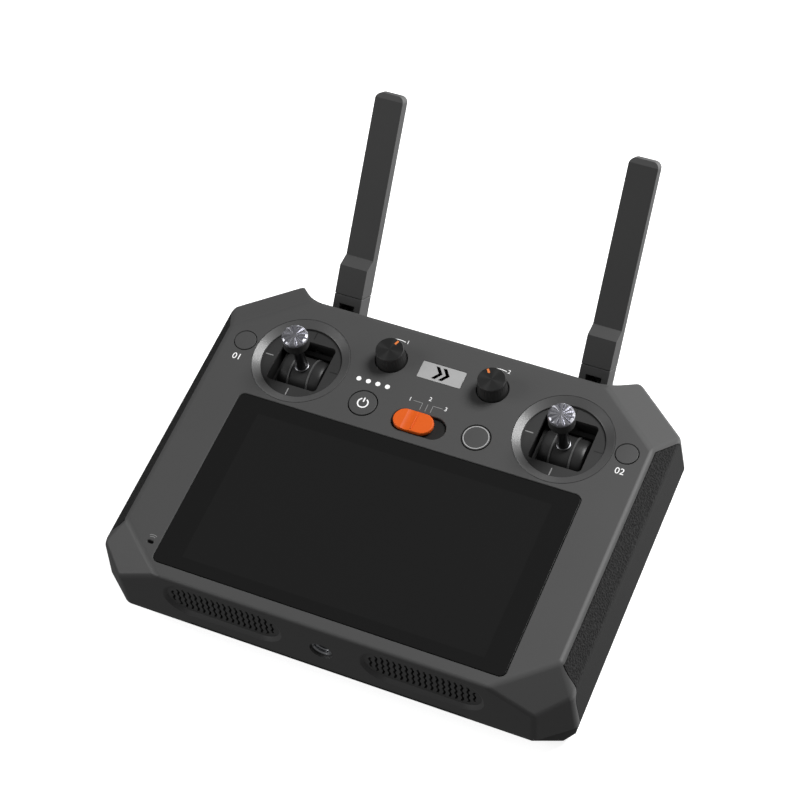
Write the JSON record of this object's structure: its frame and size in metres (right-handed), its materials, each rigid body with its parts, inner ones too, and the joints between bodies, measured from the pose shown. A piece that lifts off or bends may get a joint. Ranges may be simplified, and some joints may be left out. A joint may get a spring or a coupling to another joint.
{
  "type": "radio transmitter controller",
  "caption": "Handheld radio controller with a built-in screen, self-centring gimbal sticks, dials, a mode slider and folding antennas.",
  "frame": {"origin": "centre of the rear rest pad, on the plane the controller lies on", "axes": "+X to the operator's right, +Y away from the operator towards the antennas, +Z out of the face"},
  "size_m": [0.1938, 0.2113, 0.0921],
  "materials": {
    "casing": "satin",
    "underside": "fine texture",
    "grip": "grained",
    "glass_black": "polished",
    "panel_black": "gloss",
    "gimbal_black": "satin",
    "gimbal_ring": "satin",
    "stick_metal": "turned",
    "knob_black": "spun",
    "orange": "satin",
    "white_lens": "gloss",
    "badge": "satin",
    "speaker_black": "matte",
    "steel": "bright",
    "board": "solder mask",
    "shield": "tinned",
    "heat_sink": "anodised",
    "battery_wrap": "film",
    "lead_black": "smooth",
    "antenna": "satin",
    "pad": "matte"
  },
  "bodies": {
    "controller_body": {"back_shell": "underside", "badge_plate": "badge", "battery_cover": "underside", "battery_pack": "battery_wrap", "case_screw_left_1": "steel", "case_screw_left_2": "steel", "case_screw_right_1": "steel", "case_screw_right_2": "steel", "coax_lead_left": "lead_black", "coax_lead_right": "lead_black", "control_board": "board", "cover_glass": "glass_black", "display_panel": "panel_black", "foot_left": "pad", "foot_right": "pad", "front_shell": "casing", "gimbal_case_left": "gimbal_black", "gimbal_case_right": "gimbal_black", "gimbal_ring_left": "gimbal_ring", "gimbal_ring_right": "gimbal_ring", "grip_left": "grip", "grip_right": "grip", "heat_sink": "heat_sink", "hinge_bracket_left": "antenna", "hinge_bracket_right": "antenna", "knob_potentiometer_left": "shield", "knob_potentiometer_right": "shield", "led_light_pipe": "white_lens", "main_board": "board", "mode_switch": "gimbal_black", "radio_module": "shield", "rest_pad": "pad", "speaker_driver_left": "speaker_black", "speaker_driver_right": "speaker_black", "speaker_grille_left": "speaker_black", "speaker_grille_right": "speaker_black", "tripod_insert": "steel", "usb_socket": "steel"},
    "antenna_left": {"antenna_knuckle_left": "antenna", "antenna_blade_left": "antenna", "hinge_pin_left": "steel"},
    "gimbal_frame_left": {"gimbal_yoke_left": "gimbal_black"},
    "stick_left": {"gimbal_drum_left": "gimbal_black", "stick_shaft_left": "stick_metal", "stick_cap_left": "stick_metal"},
    "dial_left": {"knob_left": "knob_black"},
    "custom_key_left": {"custom_button_left": "casing"},
    "antenna_right": {"antenna_knuckle_right": "antenna", "antenna_blade_right": "antenna", "hinge_pin_right": "steel"},
    "gimbal_frame_right": {"gimbal_yoke_right": "gimbal_black"},
    "stick_right": {"gimbal_drum_right": "gimbal_black", "stick_shaft_right": "stick_metal", "stick_cap_right": "stick_metal"},
    "dial_right": {"knob_right": "knob_black"},
    "custom_key_right": {"custom_button_right": "casing"},
    "power_key": {"power_button": "casing"},
    "record_key": {"record_button": "casing"},
    "mode_lever": {"mode_slider": "orange"}
  },
  "joints": [
    {"name": "antenna_left_fold", "type": "hinge", "parent": "controller_body", "child": "antenna_left", "pos_m": [-0.05318, 0.076, 0.0231], "axis": [1, 0, 0], "range_deg": [-48, 46]},
    {"name": "stick_left_sideways", "type": "hinge", "parent": "controller_body", "child": "gimbal_frame_left", "pos_m": [-0.0552, 0.039, 0.0286], "axis": [0, 1, 0], "range_deg": [-24, 24], "stiffness_Nm_per_rad": 0.04},
    {"name": "stick_left_forward", "type": "hinge", "parent": "gimbal_frame_left", "child": "stick_left", "pos_m": [-0.0552, 0.039, 0.0286], "axis": [1, 0, 0], "range_deg": [-24, 24], "stiffness_Nm_per_rad": 0.04},
    {"name": "dial_left_turn", "type": "hinge", "parent": "controller_body", "child": "dial_left", "pos_m": [-0.0214, 0.0513, 0.045], "axis": [0, 0, 1], "range_deg": [-129, 171]},
    {"name": "custom_key_left_press", "type": "slide", "parent": "controller_body", "child": "custom_key_left", "axis": [0, 0, -1], "range_m": [0, 0.0006], "stiffness_N_per_m": 1500},
    {"name": "antenna_right_fold", "type": "hinge", "parent": "controller_body", "child": "antenna_right", "pos_m": [0.05318, 0.076, 0.0231], "axis": [1, 0, 0], "range_deg": [-48, 46]},
    {"name": "stick_right_sideways", "type": "hinge", "parent": "controller_body", "child": "gimbal_frame_right", "pos_m": [0.0552, 0.039, 0.0286], "axis": [0, 1, 0], "range_deg": [-24, 24], "stiffness_Nm_per_rad": 0.04},
    {"name": "stick_right_forward", "type": "hinge", "parent": "gimbal_frame_right", "child": "stick_right", "pos_m": [0.0552, 0.039, 0.0286], "axis": [1, 0, 0], "range_deg": [-24, 24], "stiffness_Nm_per_rad": 0.04},
    {"name": "dial_right_turn", "type": "hinge", "parent": "controller_body", "child": "dial_right", "pos_m": [0.0214, 0.0513, 0.045], "axis": [0, 0, 1], "range_deg": [-188, 112]},
    {"name": "custom_key_right_press", "type": "slide", "parent": "controller_body", "child": "custom_key_right", "axis": [0, 0, -1], "range_m": [0, 0.0006], "stiffness_N_per_m": 1500},
    {"name": "power_key_press", "type": "slide", "parent": "controller_body", "child": "power_key", "axis": [0, 0, -1], "range_m": [0, 0.0006], "stiffness_N_per_m": 1500},
    {"name": "record_key_press", "type": "slide", "parent": "controller_body", "child": "record_key", "axis": [0, 0, -1], "range_m": [0, 0.0006], "stiffness_N_per_m": 1500},
    {"name": "mode_lever_slide", "type": "slide", "parent": "controller_body", "child": "mode_lever", "axis": [1, 0, 0], "range_m": [0, 0.0042]}
  ]
}
